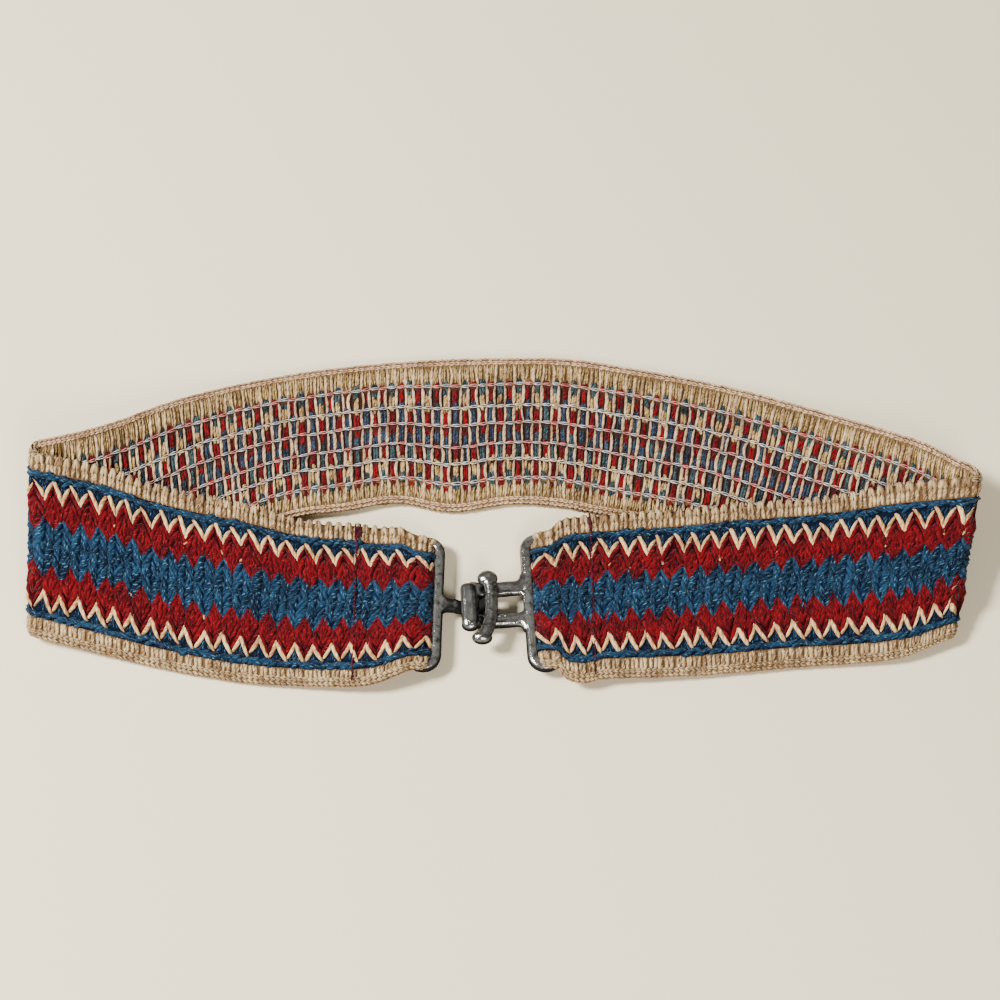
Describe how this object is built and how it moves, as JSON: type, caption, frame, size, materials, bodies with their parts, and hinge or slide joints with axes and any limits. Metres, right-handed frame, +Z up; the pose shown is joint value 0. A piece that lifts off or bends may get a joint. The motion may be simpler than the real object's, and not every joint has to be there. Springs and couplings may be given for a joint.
{
  "type": "stretch belt",
  "caption": "Knitted wool stretch belt with colour work on its outer face, fastened by a hook and eye metal clasp and lying folded flat.",
  "frame": {"origin": "Middle of the belt's box, on the surface the belt lies on.", "axes": "+Z is up from the surface, +X runs along the belt from the hook half to the eye half, and +Y runs from the fastened front half to the back half."},
  "size_m": [0.3276, 0.1346, 0.0301],
  "materials": {
    "wool": "knitted wool in blue, dark red, cream and beige, fuzzy",
    "nickel": "cast, nickel plated and slightly worn"
  },
  "bodies": {
    "root": {"knit_band": "wool", "hook_half": "nickel", "eye_half": "nickel"}
  },
  "joints": []
}
